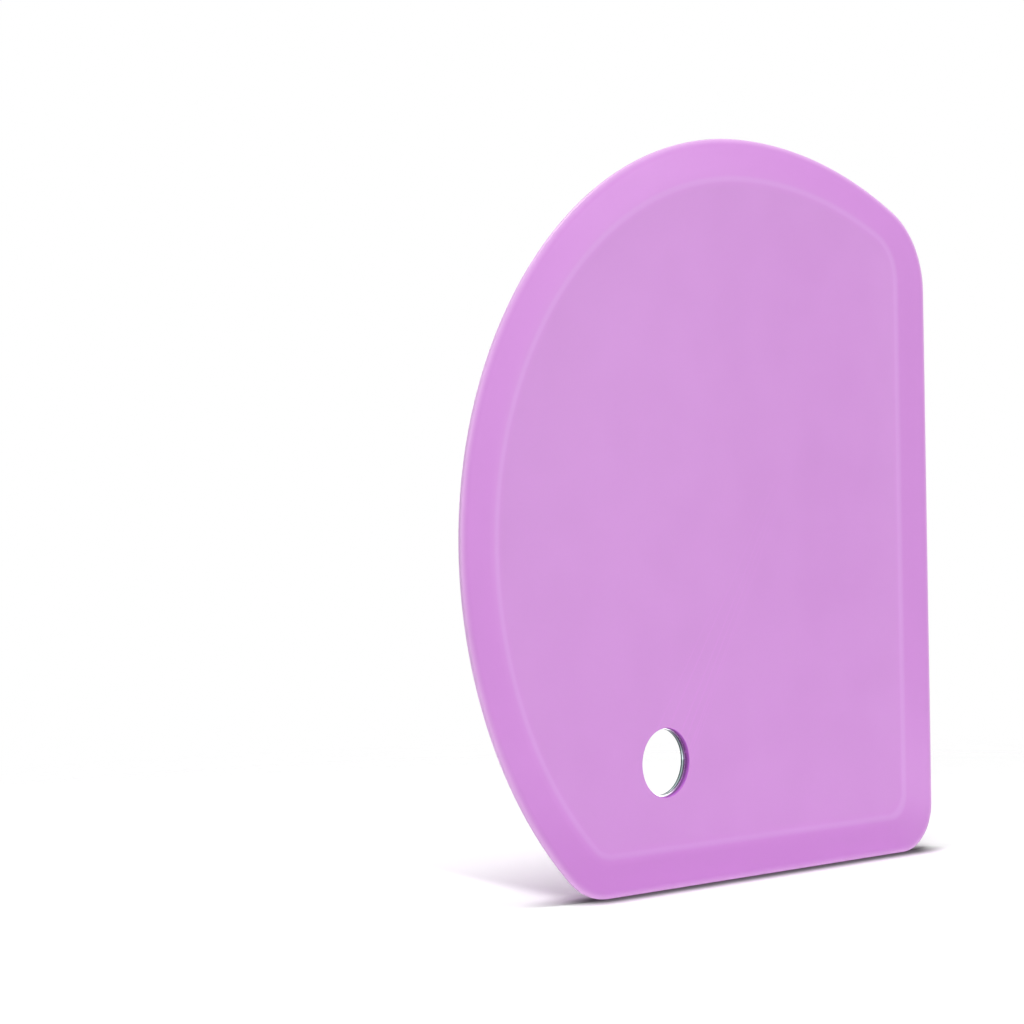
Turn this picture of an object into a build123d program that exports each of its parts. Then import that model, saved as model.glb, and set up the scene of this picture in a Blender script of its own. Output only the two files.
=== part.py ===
from build123d import *
import os
from math import sqrt

# Bowl scraper: a thin steel blade with a D-shaped silicone cover moulded round it.
# It stands on its straight bottom edge. X runs along that edge, +Z is up and the front faces -Y.
# The origin is on the ground, in the middle of the width and of the thickness.
# Sizes are in millimetres. A depth is measured from the middle of the thickness towards a face.

# Outline of the cover
blade_height = 120.0
blade_width = 113.0
side_radius = 65.0              # the quarter round from the crown down to the widest point
crown_drop = 14.5               # from the crown down to the upper right corner, before it is rounded
foot_inset = 26.0               # from the widest point in to the lower left corner, before it is rounded
crown_corner_radius = 15.0
foot_corner_radius = 12.5
scraping_corner_radius = 8.0
smallest_inner_corner = 4.0     # of the ridge, the panel and the steel inside

# Flexible border: it thins from the ridge out to a rounded rim
border_width = 6.0              # round the curves and along the bottom
straight_border_width = 8.8     # along the straight side
rim_thickness = 1.2
rim_flat = 0.2                  # left in the middle of the rim, where the mould parts

# Ridge and dished panel inside the border
ridge_rise = 0.25
ridge_round = 4.0
dish_width = 5.0                # from the ridge in to the flat of the panel

# Steel core and the silicone skin on each side of it
core_thickness = 0.8
skin_thickness = 0.65
core_setback = 1.2              # from the ridge in to the core's edge
lock_hole_radius = 1.75
lock_hole_setback = 3.6         # from the core's edge in to the middle of its locking holes
lock_hole_count = 14

# Hanging hole: a ring of bare steel shows round it on both faces
hang_hole_from_side = 43.2
hang_hole_height = 20.3
hang_hole_radius = 5.25
front_bare_steel = 0.25
back_bare_steel = 0.75
lip_bevel = 0.25

# Worked out from the sizes above
core_half = core_thickness / 2
panel_half = core_half + skin_thickness
ridge_half = panel_half + ridge_rise
rim_half = rim_thickness / 2
rim_round = rim_half - rim_flat / 2
same_place = rim_flat / 1000
left_side = -blade_width / 2
right_side = blade_width / 2
hang_hole_x = left_side + hang_hole_from_side


def front_plane(depth):
    """The plane this far in front of the middle of the thickness, facing the front."""
    return Plane.XZ.offset(depth)


def inner_corner(radius, inset):
    """A corner's radius once the outline has moved in, never sharper than the smallest one."""
    return max(radius - inset, min(radius, smallest_inner_corner))


def d_outline(inset, straight_inset):
    """The D outline moved in: its curves and bottom by inset, its straight side by straight_inset."""
    crown_x = left_side + side_radius
    widest_z = blade_height - side_radius
    crown_run = right_side - crown_x
    crown_radius = (crown_run**2 + crown_drop**2) / (2 * crown_drop)
    lower_radius = (foot_inset**2 + widest_z**2) / (2 * foot_inset)

    right_x = right_side - straight_inset
    corner_rise = sqrt((crown_radius - inset) ** 2 - (right_x - crown_x) ** 2)
    foot_reach = sqrt((lower_radius - inset) ** 2 - (widest_z - inset) ** 2)

    crown = (crown_x, blade_height - inset)
    widest = (left_side + inset, widest_z)
    upper_right = (right_x, blade_height - crown_radius + corner_rise)
    lower_right = (right_x, inset)
    lower_left = (left_side + lower_radius - foot_reach, inset)
    corner_radii = {
        upper_right: crown_corner_radius,
        lower_right: scraping_corner_radius,
        lower_left: foot_corner_radius,
    }

    with BuildSketch() as sketch:
        with BuildLine():
            TangentArc(crown, upper_right, tangent=(1, 0))
            Line(upper_right, lower_right)
            Line(lower_right, lower_left)
            TangentArc(crown, widest, tangent=(-1, 0))
            TangentArc(widest, lower_left, tangent=(0, -1))
        make_face()
        for place, radius in corner_radii.items():
            corner = sketch.vertices().sort_by_distance(Vector(*place))[0]
            fillet(corner, radius=inner_corner(radius, inset))
    return sketch.sketch


def slab_between(near, far, near_depth, far_depth):
    """A slab in the front half whose outline changes from one sketch to the other between two depths."""
    return loft([front_plane(near_depth) * near, front_plane(far_depth) * far], ruled=True)


def edges_at_depth(part, depth):
    """The edges that lie wholly at this depth in the front half."""

    def lies_there(edge):
        return all(abs(point.Y + depth) < same_place for point in (edge @ 0, edge @ 0.5, edge @ 1))

    return part.edges().filter_by(lies_there)


def front_half():
    """The front half of the moulding: rounded rim, tapered border, ridge and dished panel."""
    rim = d_outline(0, 0)
    border = d_outline(rim_round, rim_round)
    ridge = d_outline(border_width, straight_border_width)
    panel = d_outline(border_width + dish_width, straight_border_width + dish_width)
    sheet = extrude(front_plane(0) * rim, rim_half)
    half = fillet(edges_at_depth(sheet, rim_half), radius=rim_round)
    half += slab_between(border, ridge, rim_half, ridge_half)
    half -= slab_between(panel, ridge, panel_half, ridge_half)
    return fillet(edges_at_depth(half, ridge_half), radius=ridge_round)


def lipped_bore(radius):
    """What the hanging hole takes out of the front skin: a round bore that opens out at its bevelled lip."""
    middle = Vector(hang_hole_x, 0, hang_hole_height)
    lip_radius = radius + lip_bevel
    outside = panel_half + ridge_rise
    with BuildSketch(Plane(middle, x_dir=(1, 0, 0), z_dir=(0, 0, -1))) as profile:
        with BuildLine():
            Polyline(
                (0, 0),
                (radius, 0),
                (radius, panel_half - lip_bevel),
                (lip_radius, panel_half),
                (lip_radius, outside),
                (0, outside),
                close=True,
            )
        make_face()
    return revolve(profile.sketch, axis=Axis(middle, (0, 1, 0)))


def make_steel_core():
    """The stiff blade: a flat D of sheet steel with the hanging hole and a ring of locking holes."""
    inset = border_width + core_setback
    straight_inset = straight_border_width + core_setback
    core = extrude(front_plane(-core_half) * d_outline(inset, straight_inset), core_thickness)

    hang_place = Vector(hang_hole_x, hang_hole_height)
    ring = d_outline(inset + lock_hole_setback, straight_inset + lock_hole_setback).wire()
    places = [ring @ (number / lock_hole_count) for number in range(lock_hole_count)]
    clear_of_hanging = hang_hole_radius + 2 * lock_hole_radius
    locking = [place for place in places if (place - hang_place).length > clear_of_hanging]

    holes = [Pos(hang_hole_x, hang_hole_height) * Circle(hang_hole_radius)]
    holes += [Pos(place.X, place.Y) * Circle(lock_hole_radius) for place in locking]
    for hole in holes:
        core -= extrude(front_plane(-core_half) * hole, core_thickness)
    return core


def make_silicone_cover(core):
    """One moulding that wraps the core, fills its locking holes and leaves its hanging hole bare."""
    half = front_half()
    cover = half + mirror(half, about=Plane.XZ) - core
    cover -= lipped_bore(hang_hole_radius + front_bare_steel)
    cover -= mirror(lipped_bore(hang_hole_radius + back_bare_steel), about=Plane.XZ)
    return cover


steel_core = make_steel_core()
silicone_cover = make_silicone_cover(steel_core)

os.makedirs("parts", exist_ok=True)
for name, piece in {"steel_core": steel_core, "silicone_cover": silicone_cover}.items():
    export_step(piece, f"parts/{name}.step")
    print(name, "solids", len(piece.solids()), "volume", round(piece.volume, 1), "valid", piece.is_valid)
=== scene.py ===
"""The looks of a D-shaped bowl scraper: a silicone cover moulded round a sheet steel core."""

from math import atan2, cos, pi, radians, sin, sqrt

import bpy
from mathutils import Matrix, Vector


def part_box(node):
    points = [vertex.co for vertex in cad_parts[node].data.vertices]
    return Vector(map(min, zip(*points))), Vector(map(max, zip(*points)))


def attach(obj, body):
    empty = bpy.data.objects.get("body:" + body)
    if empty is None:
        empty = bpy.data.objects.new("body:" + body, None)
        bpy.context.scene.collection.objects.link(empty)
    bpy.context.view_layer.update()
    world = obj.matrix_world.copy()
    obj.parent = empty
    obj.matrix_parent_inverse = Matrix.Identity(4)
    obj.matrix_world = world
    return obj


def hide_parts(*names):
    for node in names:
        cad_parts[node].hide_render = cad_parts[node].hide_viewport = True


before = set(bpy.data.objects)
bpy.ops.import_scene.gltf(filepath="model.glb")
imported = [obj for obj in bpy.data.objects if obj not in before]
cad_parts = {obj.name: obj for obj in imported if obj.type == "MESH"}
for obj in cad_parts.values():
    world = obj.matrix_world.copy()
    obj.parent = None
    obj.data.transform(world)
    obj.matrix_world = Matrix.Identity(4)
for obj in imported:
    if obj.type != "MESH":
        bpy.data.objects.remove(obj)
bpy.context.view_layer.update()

# Lengths below are in metres, written as millimetres times mm
mm = 0.001
sliver = 0.001 * mm

# The box of the cover in the frame gives the blade's height, its sides and the height of its ridge
cover_low, cover_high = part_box("silicone_cover")
blade_height = cover_high.z
left_side = cover_low.x
right_side = cover_high.x
ridge_half = cover_high.y

# Outline of the cover
side_radius = 65 * mm
crown_drop = 14.5 * mm
foot_inset = 26 * mm
crown_corner_radius = 15 * mm
foot_corner_radius = 12.5 * mm
scraping_corner_radius = 8 * mm
smallest_inner_corner = 4 * mm

# Worked out from the outline: the middles and radii of its two large arcs
crown_x = left_side + side_radius
widest_z = blade_height - side_radius
crown_run = right_side - crown_x
crown_radius = (crown_run**2 + crown_drop**2) / (2 * crown_drop)
crown_middle_z = blade_height - crown_radius
foot_radius = (foot_inset**2 + widest_z**2) / (2 * foot_inset)
foot_middle_x = left_side + foot_radius

# Section of the cover, from the rim in to the panel: a wall, a shoulder, the border, the ridge
# and a dish
rim_wall_half = 0.22 * mm
rim_half = 0.6 * mm
shoulder_width = 0.75 * mm
border_width = 6 * mm
straight_border_width = 8.8 * mm
dish_width = 12 * mm
panel_half = 1 * mm

# How far each corner of that section is rounded, to either side
rim_rounding = 0.2 * mm
shoulder_rounding = 0.6 * mm
crest_rounding = 0.95 * mm

# Hanging hole in the silicone, 0.2 mm to the right of the one in the steel and 0.1 mm below it
hang_hole_x = -13.1 * mm
hang_hole_z = 20.2 * mm
front_hole_radius = 5.45 * mm
back_hole_radius = 6 * mm
lip_round = 0.08 * mm

# How finely the curves are divided
side_steps = 40
crown_steps = 28
crown_corner_steps = 14
straight_steps = 10
scraping_corner_steps = 14
bottom_steps = 10
foot_corner_steps = 14
foot_steps = 28
rim_steps = 5
shoulder_steps = 5
crest_steps = 8
dish_rings = 6
hole_steps = 128
lip_steps = 5
floor_steps = 96
round_profile = 0.5
smooth_angle = radians(35)
ring_spread = 20 * mm
border_share = "border_share"
ring_points = side_steps + crown_steps + crown_corner_steps + straight_steps
ring_points += scraping_corner_steps + bottom_steps + foot_corner_steps + foot_steps

# Silicone. The border is painted lighter, for light that shines through the thin silicone where
# no steel is behind it. The crest of the ridge and the thin rim carry painted highlights, and the
# wall of the hole is painted darker and deeper in colour, for the shade inside it, and is duller
silicone_deep = (0.565, 0.224, 0.626, 1)
silicone_pale = (0.58, 0.236, 0.642, 1)
# Painted light: the border is lighter for light that shines through the thin silicone
silicone_border_lit = (0.604, 0.232, 0.668, 1)
# Painted highlight along the crest of the ridge
silicone_crest_highlight = (0.62, 0.28, 0.69, 1)
# Painted highlight on the thin rim
silicone_rim_highlight = (0.78, 0.45, 0.82, 1)
# Painted shade: the wall of the hole is darker and deeper in colour than the rest
silicone_bore_shade = (0.5, 0.125, 0.62, 1)
silicone_gloss = 0.42
crest_highlight_fade = (1.235 * mm, 1.268 * mm)
rim_highlight_fade = (0.2 * mm, 0.68 * mm)
bore_fade = 0.12 * mm
bore_roughness = 0.5
silicone_roughness = 0.315
cloud_size = 14 * mm
cloud_detail = 1.0
cloud_contrast = (0.3, 0.7)
roughness_swing = 0.07
texture_size = 0.3 * mm
texture_depth = 0.0015 * mm
texture_detail = 2.0
seam_half = 0.03 * mm
seam_rise = 0.012 * mm
seam_roughness = 0.1

# Steel. The wall of the punched hole is burnished in the middle and torn at the back, where it is
# rougher and pitted and its near-black colour is partly painted shade. The dark band at the front
# is a painted reflection of the silicone wall and its shade. The front band is measured towards
# the front and the torn one towards the back
steel_bright = (0.7, 0.72, 0.72, 1)
steel_burnished = (0.4, 0.5, 0.5, 1)
# Painted reflection of the silicone wall and its shade, on the front of the hole's wall
steel_front_reflection = (0.08, 0.055, 0.105, 1)
# The torn band is rougher and pitted, and its near-black colour is partly painted shade
steel_torn_and_shade = (0.03, 0.06, 0.055, 1)
steel_roughness = 0.18
brush_scale = (12 * mm, 0.05 * mm, 0.05 * mm)
brush_roughness = 0.14
brush_depth = 0.002 * mm
brush_detail = 2.0
core_half = 0.4 * mm
face_from = 0.39 * mm
front_reflection_from = -0.04 * mm
front_reflection_to = 0.2 * mm
torn_from = 0.16 * mm
torn_to = 0.22 * mm
torn_waviness = 0.06 * mm
torn_roughness = 0.35
pit_size = 0.12 * mm
pit_depth = 0.01 * mm
pit_detail = 4.0

# For every material
plain_white = (1, 1, 1, 1)
noise_middle = 0.5

# Light. A level is what a lamp or the fill adds to a white surface that faces it, where 1 shows
# as white
fill_level = 0.11
lamp_distance = 0.9

# Tabletop. For the camera it fades into the white background, and close to the foot it carries a
# painted shadow that only the camera sees
floor_radius = 0.6
floor_seen_to = (0.14, 0.28)
floor_white = (0.95, 0.95, 0.95, 1)
foot_shade = (0.12, 0.12, 0.12, 1)
shade_rise = (1.2 * mm, 5.5 * mm)
foot_middle = 11.5 * mm
foot_half = 37.5 * mm
foot_fade = 0.5

# Its glow for the camera, weaker behind the blade and close to the foot, which paints shade there.
# The line where that changes leans to the left and shapes the edge of the shadow beside the foot
open_glow = 0.6
back_glow = 0.16
open_in_front = 8 * mm
open_beside = (27 * mm, 35 * mm)
shadow_lean = 0.23
glow_rise = (3 * mm, 10 * mm)

# Its glow for gloss alone, in a strip that runs away from the foot: a painted reflection, which
# puts painted highlights into the blade's gloss
reflection_strip_glow = 1.8
reflection_strip_rise = (20 * mm, 70 * mm)
reflection_strip_turn = radians(48)
reflection_strip_fade = (60 * mm, 160 * mm)

# Camera, from the fit to the photograph
camera_place = Vector((-352.611, -309.213, 62.753)) * mm
camera_turn = radians(44.816)
camera_dip = radians(0.328)
camera_roll = radians(-0.985)
camera_lens = 102.209


def pick(*objects):
    """Makes these the only selected objects, with the first one active."""
    bpy.ops.object.select_all(action="DESELECT")
    for chosen in objects:
        chosen.select_set(True)
    bpy.context.view_layer.objects.active = objects[0]


def edit(piece):
    """Opens a piece in edit mode with all of it selected."""
    pick(piece)
    bpy.ops.object.mode_set(mode="EDIT")
    bpy.ops.mesh.select_mode(type="VERT")
    bpy.ops.mesh.select_all(action="SELECT")


def keep_selected(piece, is_chosen):
    """In edit mode, leaves selected only those points that pass a test."""
    bpy.ops.object.mode_set(mode="OBJECT")
    chosen = [point.index for point in piece.data.vertices if point.select and is_chosen(point)]
    bpy.ops.object.mode_set(mode="EDIT")
    bpy.ops.mesh.select_all(action="DESELECT")
    bpy.ops.object.mode_set(mode="OBJECT")
    for index in chosen:
        piece.data.vertices[index].select = True
    bpy.ops.object.mode_set(mode="EDIT")


def close_edit():
    bpy.ops.object.mode_set(mode="OBJECT")


def join(*pieces):
    """Joins pieces into the first one, whose points keep their numbers."""
    pick(*pieces)
    bpy.ops.object.join()
    return pieces[0]


def turn_on(steps, angle, middle, axis=(0, 1, 0)):
    """Spins the selected points about an axis through middle, clockwise as seen along the axis."""
    bpy.ops.mesh.spin(steps=steps, angle=-angle, center=middle, axis=axis)


def run_on(steps, x=0, y=0, z=0):
    """Extrudes the selected end point by this much in all, in equal steps."""
    step = Vector((x, y, z)) / steps
    for _ in range(steps):
        bpy.ops.mesh.extrude_vertices_move(TRANSFORM_OT_translate={"value": step})


def inner_corner(radius, inset):
    """A corner's radius once the outline has moved in, never sharper than the smallest one."""
    return max(radius - inset, min(radius, smallest_inner_corner))


def d_ring(inset, straight_inset, depth):
    """A closed ring of edges along the D. It is moved in by inset, its straight side by its own."""
    y = -depth
    bpy.ops.mesh.primitive_circle_add(
        vertices=4 * side_steps,
        radius=side_radius - inset,
        location=(crown_x, y, widest_z),
        rotation=(pi / 2, 0, 0),
    )
    ring = bpy.context.object
    bpy.ops.object.transform_apply(location=True, rotation=True, scale=True)
    edit(ring)
    keep_selected(ring, lambda point: point.index > side_steps)
    bpy.ops.mesh.delete(type="VERT")
    bpy.ops.mesh.select_all(action="SELECT")
    keep_selected(ring, lambda point: point.index == 0)

    right_x = right_side - straight_inset
    crown_corner = inner_corner(crown_corner_radius, inset)
    crown_reach = crown_radius - inset - crown_corner
    crown_corner_x = right_x - crown_corner
    crown_corner_z = crown_middle_z + sqrt(crown_reach**2 - (crown_corner_x - crown_x) ** 2)
    crown_turn = atan2(crown_corner_x - crown_x, crown_corner_z - crown_middle_z)
    turn_on(crown_steps, crown_turn, (crown_x, y, crown_middle_z))
    turn_on(crown_corner_steps, pi / 2 - crown_turn, (crown_corner_x, y, crown_corner_z))

    scraping_corner = inner_corner(scraping_corner_radius, inset)
    run_on(straight_steps, z=inset + scraping_corner - crown_corner_z)
    turn_on(scraping_corner_steps, pi / 2, (right_x - scraping_corner, y, inset + scraping_corner))

    foot_corner = inner_corner(foot_corner_radius, inset)
    foot_reach = foot_radius - inset - foot_corner
    foot_corner_z = inset + foot_corner
    foot_corner_x = foot_middle_x - sqrt(foot_reach**2 - (widest_z - foot_corner_z) ** 2)
    foot_turn = atan2(widest_z - foot_corner_z, foot_middle_x - foot_corner_x)
    run_on(bottom_steps, x=foot_corner_x - (right_x - scraping_corner))
    turn_on(foot_corner_steps, pi / 2 - foot_turn, (foot_corner_x, y, foot_corner_z))
    turn_on(foot_steps, foot_turn, (foot_middle_x, y, widest_z))

    bpy.ops.mesh.select_all(action="SELECT")
    bpy.ops.mesh.remove_doubles(threshold=sliver)
    close_edit()
    return ring


def skin_over(rings):
    """Joins rings of equal numbers of points in their order, and bridges each one to the next.

    Rings that lie nearly in one plane bridge badly, so they are set apart meanwhile.
    """
    count = len(rings[0].data.vertices)
    for number, ring in enumerate(rings):
        edit(ring)
        bpy.ops.transform.translate(value=(0, -number * ring_spread, 0))
        close_edit()
    skin = rings[0]
    for number, ring in enumerate(rings[1:]):
        skin = join(skin, ring)
        edit(skin)
        keep_selected(skin, lambda point: point.index >= number * count)
        bpy.ops.mesh.bridge_edge_loops()
        close_edit()
    for number in range(len(rings)):
        edit(skin)
        keep_selected(skin, lambda point: point.index // count == number)
        bpy.ops.transform.translate(value=(0, number * ring_spread, 0))
        close_edit()
    return skin


def apply_modifier(piece, kind, **settings):
    """Adds a modifier with these settings and applies it."""
    pick(piece)
    bpy.ops.object.modifier_add(type=kind)
    modifier = piece.modifiers[-1]
    for setting, value in settings.items():
        setattr(modifier, setting, value)
    bpy.ops.object.modifier_apply(modifier=modifier.name)


def bore_cutter():
    """The hanging hole as a solid: two bores that meet in the middle, each with a rounded lip."""
    bpy.ops.mesh.primitive_plane_add(size=lip_round, location=(0, 0, 0))
    cutter = bpy.context.object
    edit(cutter)
    bpy.ops.mesh.merge(type="CENTER")
    bpy.ops.transform.translate(value=(hang_hole_x, -ridge_half, hang_hole_z))

    wall_depth = panel_half - lip_round
    front_lip_x = front_hole_radius + lip_round
    back_lip_x = back_hole_radius + lip_round
    run_on(1, x=front_lip_x)
    run_on(1, y=ridge_half - panel_half)
    front_lip = (hang_hole_x + front_lip_x, -wall_depth, hang_hole_z)
    turn_on(lip_steps, pi / 2, front_lip, axis=(0, 0, -1))
    run_on(1, y=wall_depth)
    run_on(1, x=back_hole_radius - front_hole_radius)
    run_on(1, y=wall_depth)
    back_lip = (hang_hole_x + back_lip_x, wall_depth, hang_hole_z)
    turn_on(lip_steps, pi / 2, back_lip, axis=(0, 0, -1))
    run_on(1, y=ridge_half - panel_half)
    run_on(1, x=-back_lip_x)

    bpy.ops.mesh.select_all(action="SELECT")
    turn_on(hole_steps, 2 * pi, (hang_hole_x, 0, hang_hole_z))
    bpy.ops.mesh.select_all(action="SELECT")
    bpy.ops.mesh.remove_doubles(threshold=sliver)
    bpy.ops.mesh.normals_make_consistent(inside=False)
    close_edit()
    return cutter


def round_ring(skin, depth, offset, segments):
    """Bevels the ring of edges that lies at this depth."""
    edit(skin)
    keep_selected(skin, lambda point: abs(point.co.y + depth) < sliver)
    bpy.ops.mesh.bevel(
        offset=offset, segments=segments, profile=round_profile, affect="EDGES"
    )
    close_edit()


def front_skin():
    """The front half of the cover: rounded rim, tapered border, ridge, dish and flat panel."""
    rings = [
        d_ring(0, 0, 0),
        d_ring(0, 0, rim_wall_half),
        d_ring(shoulder_width, shoulder_width, rim_half),
        d_ring(border_width, straight_border_width, ridge_half),
    ]
    border_rings = len(rings)
    for number in range(1, dish_rings + 1):
        part = number / dish_rings
        dish_inset = dish_width * part
        depth = panel_half + (ridge_half - panel_half) * (1 - part) ** 2
        rings.append(d_ring(border_width + dish_inset, straight_border_width + dish_inset, depth))
    skin = skin_over(rings)

    edit(skin)
    keep_selected(skin, lambda point: point.index >= len(skin.data.vertices) - ring_points)
    bpy.ops.mesh.edge_face_add()
    close_edit()
    share = skin.data.attributes.new(border_share, "FLOAT", "POINT")
    for index, entry in enumerate(share.data):
        entry.value = 1 if index // ring_points < border_rings else 0

    round_ring(skin, rim_wall_half, rim_rounding, rim_steps)
    round_ring(skin, rim_half, shoulder_rounding, shoulder_steps)
    round_ring(skin, ridge_half, crest_rounding, crest_steps)
    return skin


def merged_copy(node, name):
    """A copy of a CAD node with its loose triangles merged."""
    copy = node.copy()
    copy.data = node.data.copy()
    copy.parent = None
    copy.name = name
    for tag in list(copy.keys()):
        del copy[tag]
    bpy.context.scene.collection.objects.link(copy)
    edit(copy)
    bpy.ops.mesh.remove_doubles(threshold=sliver)
    close_edit()
    return copy


def make_cover():
    """The silicone cover: both halves, with the core's place and the hanging hole cut out."""
    cover = front_skin()
    apply_modifier(cover, "MIRROR", use_axis=(False, True, False), merge_threshold=sliver)
    edit(cover)
    bpy.ops.mesh.normals_make_consistent(inside=False)
    close_edit()

    core_space = merged_copy(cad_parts["steel_core"], "core_space")
    for cutter in (bore_cutter(), core_space):
        apply_modifier(cover, "BOOLEAN", operation="DIFFERENCE", object=cutter, solver="EXACT")
        bpy.data.objects.remove(cutter)
    edit(cover)
    bpy.ops.mesh.remove_doubles(threshold=sliver)
    close_edit()
    pick(cover)
    bpy.ops.object.shade_smooth_by_angle(angle=smooth_angle)
    apply_modifier(cover, "WEIGHTED_NORMAL", keep_sharp=True)
    cover.name = "silicone_moulding"
    return cover


class Value:
    """A number or colour worked out by a material's nodes. Arithmetic on it adds Math nodes."""

    def __init__(self, material, socket):
        self.material = material
        self.socket = socket

    def math(self, operation, *operands):
        return self.material.add("ShaderNodeMath", {"operation": operation}, *operands)

    def __add__(self, other):
        return self.math("ADD", self, other)

    def __sub__(self, other):
        return self.math("SUBTRACT", self, other)

    def __mul__(self, other):
        return self.math("MULTIPLY", self, other)

    def __radd__(self, other):
        return self.math("ADD", other, self)

    def __rsub__(self, other):
        return self.math("SUBTRACT", other, self)

    def __rmul__(self, other):
        return self.math("MULTIPLY", other, self)

    def size(self):
        return self.math("ABSOLUTE", self)

    def root(self):
        return self.math("SQRT", self)

    def largest(self, other):
        return self.math("MAXIMUM", self, other)

    def between(self, low, high):
        """A colour that goes from low to high as this number goes from 0 to 1."""
        return self.material.add("ShaderNodeMix", {"data_type": "RGBA"}, self, low, high)

    def ramp(self, low, high):
        """0 up to low, 1 from high on, and a smooth rise between."""
        return self.material.add(
            "ShaderNodeMapRange",
            {"interpolation_type": "SMOOTHSTEP"},
            Value=self,
            From_Min=low,
            From_Max=high,
        )


class NodeTree:
    """The nodes of a material or of the world."""

    def __init__(self, owner):
        owner.use_nodes = True
        self.tree = owner.node_tree
        self.tree.nodes.clear()

    def add(self, kind, settings=None, *inputs, output=0, **named):
        """Adds a node, sets it up, then gives its sockets values or links, by order or by name."""
        node = self.tree.nodes.new(kind)
        for setting, value in (settings or {}).items():
            setattr(node, setting, value)
        open_inputs = [socket for socket in node.inputs if socket.enabled]
        sockets = list(zip(open_inputs, inputs))
        sockets += [(node.inputs[name.replace("_", " ")], value) for name, value in named.items()]
        for socket, value in sockets:
            if isinstance(value, Value):
                self.tree.links.new(value.socket, socket)
            else:
                socket.default_value = value
        if isinstance(output, str):
            return Value(self, node.outputs[output])
        open_outputs = [socket for socket in node.outputs if socket.enabled]
        return Value(self, open_outputs[output]) if open_outputs else node


def new_material(name):
    material = bpy.data.materials.new(name)
    return material, NodeTree(material)


def silicone_material():
    """Satin lilac silicone: a fine moulded texture, faint clouds and the mould's parting line,
    with painted light on the border, painted highlights on crest and rim, painted shade in the
    hole.
    """
    material, nodes = new_material("lilac_silicone")
    place = nodes.add("ShaderNodeTexCoord", output="Object")
    thickness_place = nodes.add("ShaderNodeSeparateXYZ", None, place, output="Y")

    clouds = nodes.add(
        "ShaderNodeTexNoise", None, Vector=place, Scale=1 / cloud_size, Detail=cloud_detail
    )
    texture = nodes.add(
        "ShaderNodeTexNoise", None, Vector=place, Scale=1 / texture_size, Detail=texture_detail
    )
    from_middle = thickness_place.size()
    seam = 1 - from_middle.ramp(seam_half, 2 * seam_half)

    from_hole = nodes.add(
        "ShaderNodeVectorMath", {"operation": "SUBTRACT"}, place, (hang_hole_x, 0, hang_hole_z)
    )
    across = nodes.add("ShaderNodeVectorMath", {"operation": "MULTIPLY"}, from_hole, (1, 0, 1))
    reach = nodes.add("ShaderNodeVectorMath", {"operation": "LENGTH"}, across, output="Value")
    bore = 1 - reach.ramp(front_hole_radius + bore_fade / 2, front_hole_radius + bore_fade)

    border = nodes.add("ShaderNodeAttribute", {"attribute_name": border_share}, output="Fac")
    crest = from_middle.ramp(*crest_highlight_fade)
    rim = 1 - from_middle.ramp(*rim_highlight_fade)

    colour = clouds.ramp(*cloud_contrast).between(silicone_deep, silicone_pale)
    # Painted light on the border, painted highlights on crest and rim, painted shade in the hole
    colour = border.between(colour, silicone_border_lit)
    colour = crest.between(colour, silicone_crest_highlight)
    colour = rim.between(colour, silicone_rim_highlight)
    colour = bore.between(colour, silicone_bore_shade)
    roughness = silicone_roughness + (clouds - noise_middle) * roughness_swing
    roughness = roughness + seam * seam_roughness + bore * bore_roughness
    height = texture * texture_depth + seam * seam_rise
    relief = nodes.add("ShaderNodeBump", None, Strength=1.0, Distance=1.0, Height=height)
    shader = nodes.add(
        "ShaderNodeBsdfPrincipled",
        None,
        Base_Color=colour,
        Roughness=roughness,
        Specular_IOR_Level=silicone_gloss,
        Normal=relief,
    )
    nodes.add("ShaderNodeOutputMaterial", None, shader)
    return material


def steel_material():
    """Rolled stainless sheet, brushed lengthwise. The punched hole's wall has a burnished band, a
    torn band at the back that is partly painted shade, and a painted dark reflection at the front.
    """
    material, nodes = new_material("stainless_sheet")
    place = nodes.add("ShaderNodeTexCoord", output="Object")
    thickness_place = nodes.add("ShaderNodeSeparateXYZ", None, place, output="Y")

    along = nodes.add(
        "ShaderNodeMapping", {"vector_type": "TEXTURE"}, Vector=place, Scale=brush_scale
    )
    brushing = nodes.add("ShaderNodeTexNoise", None, Vector=along, Scale=1.0, Detail=brush_detail)
    pits = nodes.add(
        "ShaderNodeTexNoise", None, Vector=place, Scale=1 / pit_size, Detail=pit_detail
    )
    torn = (thickness_place + pits * torn_waviness).ramp(torn_from, torn_to)
    face = thickness_place.size().ramp(face_from, core_half)
    torn = torn * (1 - face)
    # Painted reflection: the dark band at the front of the hole's wall
    rolled = (0 - thickness_place).ramp(front_reflection_from, front_reflection_to)

    wall_colour = rolled.between(steel_burnished, steel_front_reflection)
    wall_colour = torn.between(wall_colour, steel_torn_and_shade)
    colour = face.between(wall_colour, steel_bright)
    roughness = steel_roughness + brushing * brush_roughness + torn * torn_roughness
    height = brushing * brush_depth + torn * pits * pit_depth
    relief = nodes.add("ShaderNodeBump", None, Strength=1.0, Distance=1.0, Height=height)
    shader = nodes.add(
        "ShaderNodeBsdfPrincipled",
        None,
        Base_Color=colour,
        Metallic=1.0,
        Roughness=roughness,
        Normal=relief,
    )
    nodes.add("ShaderNodeOutputMaterial", None, shader)
    return material


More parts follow.
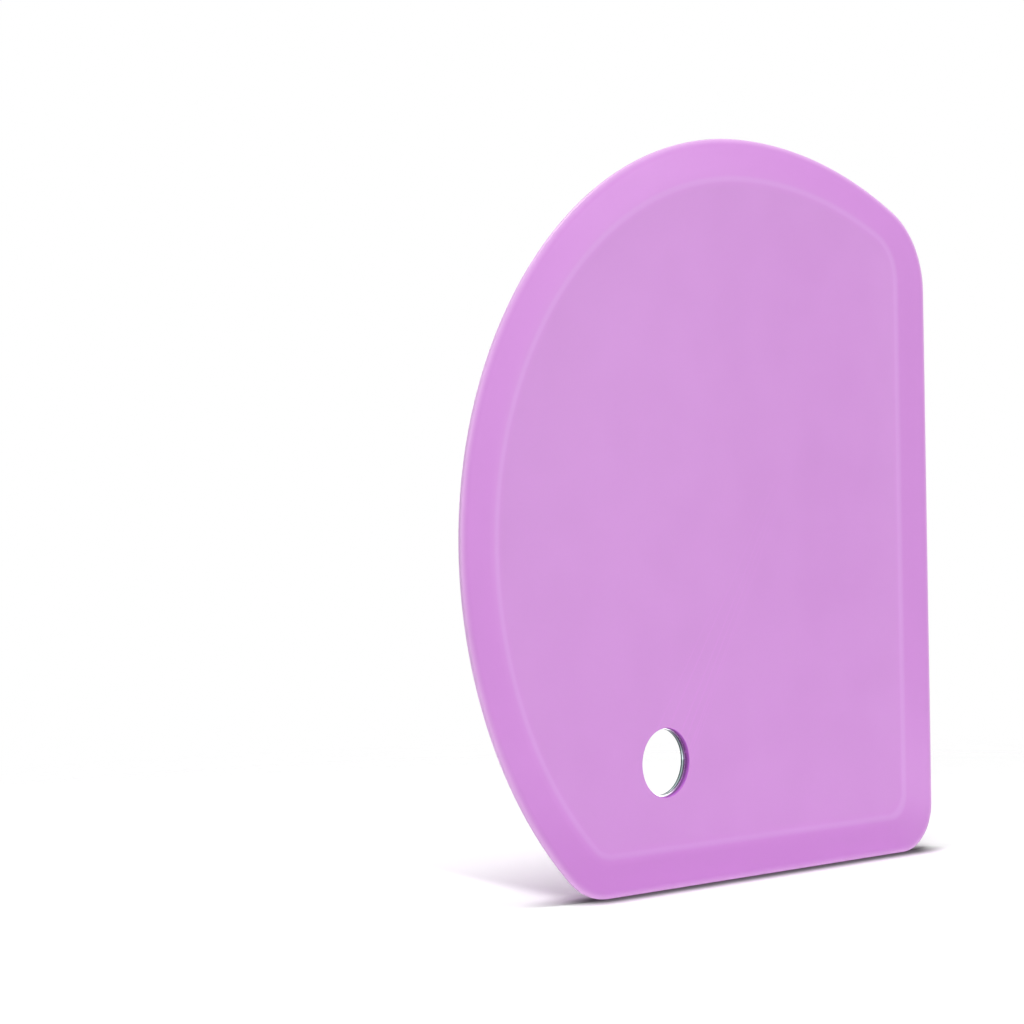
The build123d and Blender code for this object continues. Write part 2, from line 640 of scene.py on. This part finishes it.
def make_world():
    """White where the camera, gloss or glass sees it, and a low even fill for everything else."""
    world = bpy.data.worlds.new("studio")
    bpy.context.scene.world = world
    nodes = NodeTree(world)
    seen = nodes.add("ShaderNodeLightPath", output="Is Camera Ray")
    glossy = nodes.add("ShaderNodeLightPath", output="Is Glossy Ray")
    through = nodes.add("ShaderNodeLightPath", output="Is Transmission Ray")
    full = seen.largest(glossy).largest(through)
    level = fill_level + full * (1 - fill_level)
    background = nodes.add("ShaderNodeBackground", None, plain_white, level)
    nodes.add("ShaderNodeOutputWorld", None, background)


def softbox(name, azimuth, elevation, width, height, level):
    """A rectangular lamp that faces the blade. Azimuth is in degrees, from +X to the back."""
    turn, rise = radians(azimuth), radians(elevation)
    middle = Vector((0, 0, blade_height / 2))
    towards = Vector((cos(turn) * cos(rise), sin(turn) * cos(rise), sin(rise)))
    lamp = bpy.data.lights.new(name, "AREA")
    lamp.shape = "RECTANGLE"
    lamp.size, lamp.size_y = width, height
    lamp.energy = level * (pi * lamp_distance) ** 2
    holder = bpy.data.objects.new(name, lamp)
    holder.location = middle + towards * lamp_distance
    holder.rotation_mode = "QUATERNION"
    holder.rotation_quaternion = towards.to_track_quat("Z", "Y")
    bpy.context.scene.collection.objects.link(holder)


def make_floor():
    """A white tabletop that fades out into the white background, with a painted shadow round the
    foot and a strip that glows for gloss alone as a painted reflection.
    """
    bpy.ops.object.select_all(action="DESELECT")
    bpy.ops.mesh.primitive_circle_add(
        vertices=floor_steps, radius=floor_radius, fill_type="NGON", location=(0, 0, 0)
    )
    floor = bpy.context.object
    floor.name = "tabletop"
    material, nodes = new_material("white_tabletop")
    place = nodes.add("ShaderNodeTexCoord", output="Object")
    reach = nodes.add("ShaderNodeVectorMath", {"operation": "LENGTH"}, place, output="Value")
    along_foot = nodes.add("ShaderNodeSeparateXYZ", None, place, output="X")
    past_foot = ((along_foot - foot_middle).size() - foot_half).largest(0) * foot_fade
    beside_foot = nodes.add("ShaderNodeSeparateXYZ", None, place, output="Y")
    from_foot = (past_foot * past_foot + beside_foot * beside_foot).root()

    seen = nodes.add("ShaderNodeLightPath", output="Is Camera Ray")
    glossy = nodes.add("ShaderNodeLightPath", output="Is Glossy Ray")
    # Painted reflection: a strip of tabletop that glows only in the blade's gloss
    beside_reflection_strip = (along_foot * sin(reflection_strip_turn) + beside_foot * cos(reflection_strip_turn)).size()
    reflection_strip = from_foot.ramp(*reflection_strip_rise) * (1 - beside_reflection_strip.ramp(*reflection_strip_fade))
    # Painted shade: less glow behind the blade, up to a leaning line beside the foot
    in_front = (0 - beside_foot).ramp(0, open_in_front)
    to_left = (beside_foot * shadow_lean - along_foot).ramp(*open_beside)
    glow_level = back_glow + in_front.largest(to_left) * (open_glow - back_glow)
    strength = seen * from_foot.ramp(*glow_rise) * glow_level + glossy * reflection_strip * reflection_strip_glow
    # Painted shadow round the foot, seen by the camera alone
    shaded = seen * (1 - from_foot.ramp(*shade_rise))
    diffuse = nodes.add("ShaderNodeBsdfDiffuse", None, shaded.between(floor_white, foot_shade))
    glow = nodes.add("ShaderNodeEmission", None, plain_white, strength)
    lit = nodes.add("ShaderNodeAddShader", None, diffuse, glow)
    clear = nodes.add("ShaderNodeBsdfTransparent")
    surface = nodes.add("ShaderNodeMixShader", None, seen * reach.ramp(*floor_seen_to), lit, clear)
    nodes.add("ShaderNodeOutputMaterial", None, surface)
    floor.data.materials.append(material)


def make_camera():
    """The camera at the photograph's viewing angle."""
    camera = bpy.data.cameras.new("camera")
    camera.lens = camera_lens
    holder = bpy.data.objects.new("camera", camera)
    turned = Matrix.Rotation(-camera_turn, 4, "Z")
    dipped = Matrix.Rotation(pi / 2 - camera_dip, 4, "X")
    rolled = Matrix.Rotation(camera_roll, 4, "Z")
    holder.matrix_world = Matrix.Translation(camera_place) @ turned @ dipped @ rolled
    bpy.context.scene.collection.objects.link(holder)
    bpy.context.scene.camera = holder


cover = make_cover()
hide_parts("silicone_cover")
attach(cover, "root")
cover.data.materials.clear()
cover.data.materials.append(silicone_material())

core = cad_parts["steel_core"]
core.data.materials.clear()
core.data.materials.append(steel_material())

make_floor()
make_world()
softbox("overhead", azimuth=-104, elevation=76, width=0.3, height=0.3, level=0.68)
softbox("left_bank", azimuth=-158, elevation=22, width=0.8, height=0.7, level=0.24)
softbox("back_bank", azimuth=80, elevation=20, width=0.6, height=0.6, level=0.4)
softbox("rim_strip", azimuth=-108, elevation=5, width=0.3, height=0.6, level=0.13)
softbox("panel_strip", azimuth=-46, elevation=8, width=0.2, height=0.7, level=0.17)
softbox("panel_bank", azimuth=-62, elevation=10, width=0.42, height=0.7, level=0.175)
make_camera()

bpy.context.scene.view_settings.view_transform = "Standard"
